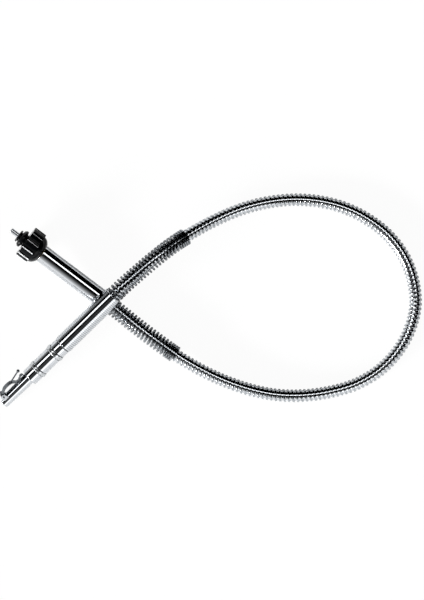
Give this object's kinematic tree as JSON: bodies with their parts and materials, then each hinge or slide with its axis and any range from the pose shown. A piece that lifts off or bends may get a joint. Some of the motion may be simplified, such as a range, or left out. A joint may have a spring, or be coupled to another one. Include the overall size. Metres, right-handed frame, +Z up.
{
  "type": "cable shutter release",
  "caption": "Armoured mechanical cable release: looped stripwound hose with a ribbed screw-on nose and pin at one end and a lever-locked plunger grip at the other.",
  "frame": {"origin": "on the table, under the middle of the two crossed ends and their guard springs; the free hose is left out", "axes": "+Z up from the table the release lies on; +X from the crossed ends towards the far side of the hose's loop; +Y towards the camera end's side"},
  "size_m": [0.2039, 0.1028, 0.0203],
  "materials": {
    "hose_chrome": "bright chromed stripwound steel with dark interlocking seams",
    "guard_wire": "bright plated round spring wire",
    "polished_chrome": "mirror chrome plate over turned brass",
    "satin_nickel": "satin nickel, fine circular brushing",
    "black_moulding": "glossy black phenolic moulding",
    "spring_steel": "bright drawn spring steel",
    "turned_brass": "bare turned brass, inside the tubes"
  },
  "bodies": {
    "root": {"armoured_hose": "hose_chrome", "inner_conduit": "spring_steel", "core_wire": "spring_steel", "camera_guard_spring": "guard_wire", "hand_guard_spring": "guard_wire", "camera_end_tube": "polished_chrome", "camera_end_anchor": "turned_brass", "nut_bush": "turned_brass", "nut_retaining_ring": "spring_steel", "grip_tube": "polished_chrome", "grip_barrel": "polished_chrome", "joining_sleeve": "turned_brass", "hand_end_anchor": "turned_brass", "finger_ring_front": "satin_nickel", "finger_ring_rear": "satin_nickel", "guide_tube": "polished_chrome", "lever_pivot_pin": "spring_steel", "catch_spring": "spring_steel", "return_spring": "spring_steel"},
    "coupling": {"ribbed_nut": "black_moulding", "screw_nose": "black_moulding"},
    "pin": {"release_pin": "polished_chrome", "pin_wire_crimp": "turned_brass"},
    "plunger": {"plunger_rod": "polished_chrome", "spring_clip": "spring_steel", "plunger_wire_crimp": "turned_brass"},
    "lever": {"lock_lever": "spring_steel"}
  },
  "joints": [
    {"name": "coupling_spin", "type": "hinge", "parent": "root", "child": "coupling", "pos_m": [-0.03068, 0.03489, 0.00841], "axis": [-0.7941, 0.6028, 0.0779], "continuous": true},
    {"name": "plunger_slide", "type": "slide", "parent": "root", "child": "plunger", "axis": [-0.7077, -0.6873, -0.1639], "range_m": [0, 0.004], "deforming": ["return_spring"]},
    {"name": "pin_slide", "type": "slide", "parent": "root", "child": "pin", "axis": [-0.7941, 0.6028, 0.0779], "range_m": [-0.004, 0]},
    {"name": "lever_lift", "type": "hinge", "parent": "root", "child": "lever", "pos_m": [-0.04441, -0.03733, 0.00626], "axis": [0.4095, -0.588, 0.6975], "range_deg": [0, 12], "stiffness_Nm_per_rad": 0.004, "springref_deg": -8.59, "deforming": ["catch_spring"]}
  ],
  "couplings": [
    {"joint": "pin_slide", "follows": "plunger_slide", "ratio": -1}
  ]
}
